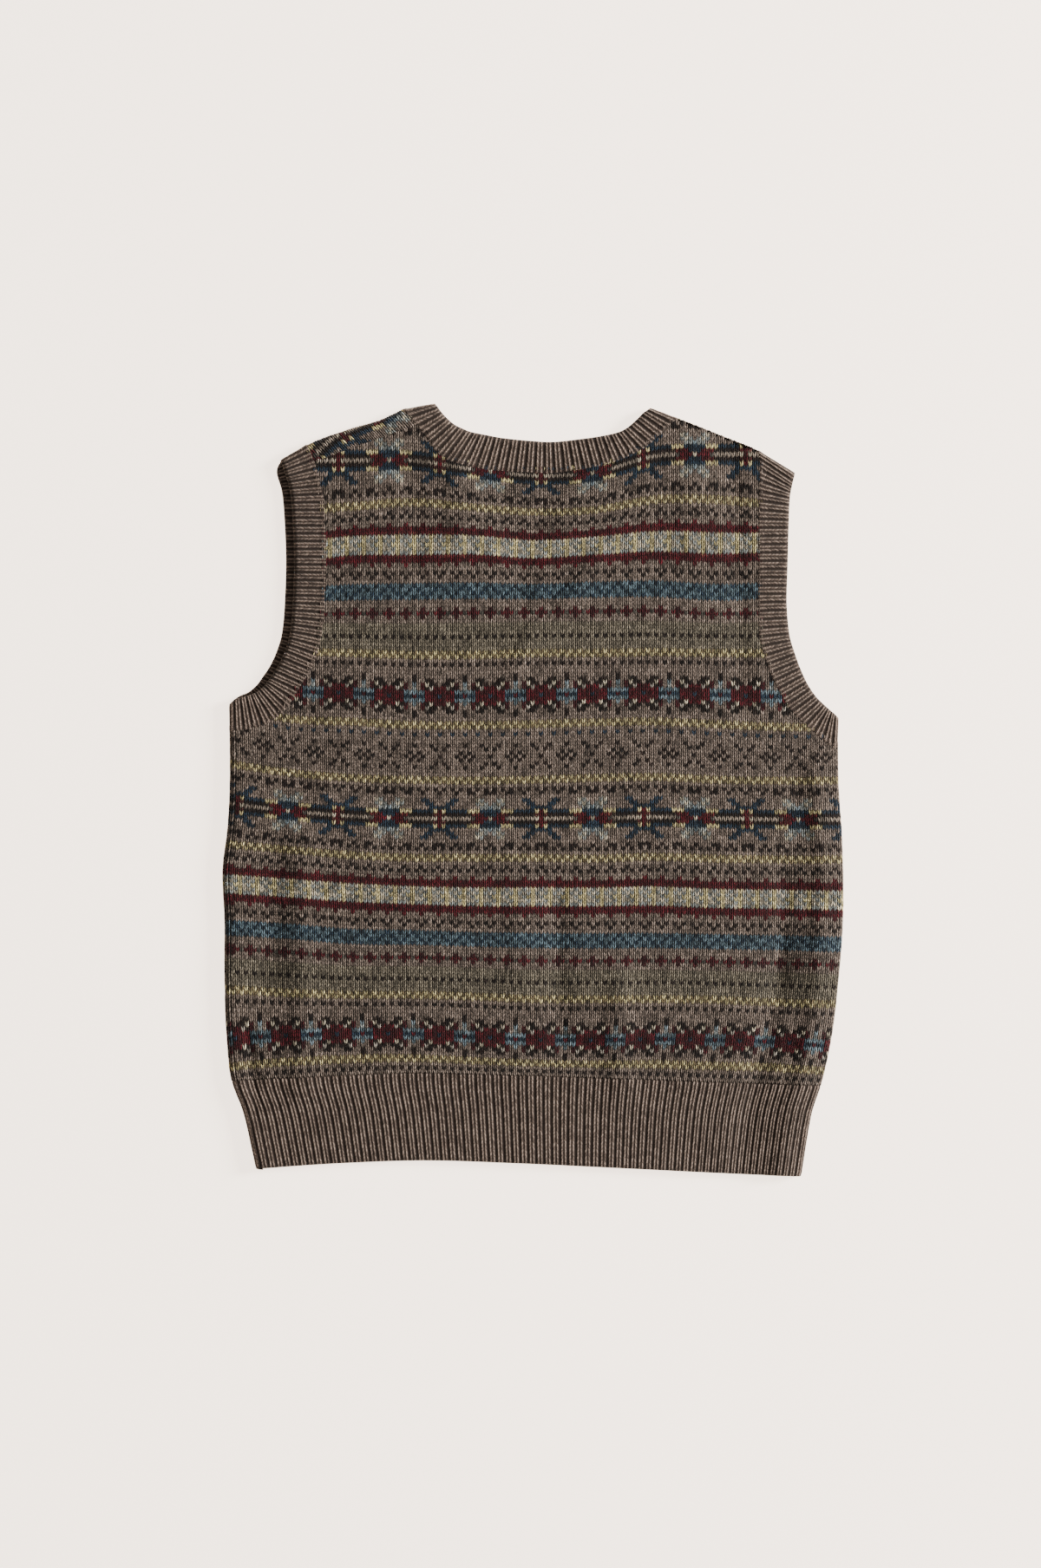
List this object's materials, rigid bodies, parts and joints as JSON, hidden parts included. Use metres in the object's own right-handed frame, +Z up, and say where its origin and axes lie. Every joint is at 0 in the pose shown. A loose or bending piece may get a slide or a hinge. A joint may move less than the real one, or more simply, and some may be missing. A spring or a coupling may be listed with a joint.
{
  "type": "sweater vest",
  "caption": "Knitted sleeveless pullover vest with fair isle bands and ribbed edges, lying flat with its back up.",
  "frame": {"origin": "middle of the garment's outline, on the surface it lies on", "axes": "+X to the right as seen from above, +Y from the hem to the neck, +Z up, out of the back of the vest"},
  "size_m": [0.5105, 0.637, 0.0083],
  "materials": {
    "patterned_knit": "stranded wool stocking stitch in taupe, dark brown, maroon, blues, cream and yellow, matt and hairy",
    "patterned_knit_front": "the same stranded wool stocking stitch on the front, matt and hairy",
    "rib_knit": "one by one ribbed wool in dark brown with light taupe stitch lines, matt"
  },
  "bodies": {
    "root": {"back_panel": "patterned_knit", "front_panel": "patterned_knit_front", "hem_rib_back": "rib_knit", "hem_rib_front": "rib_knit", "neckband": "rib_knit", "armhole_band_left": "rib_knit", "armhole_band_right": "rib_knit"}
  },
  "joints": []
}
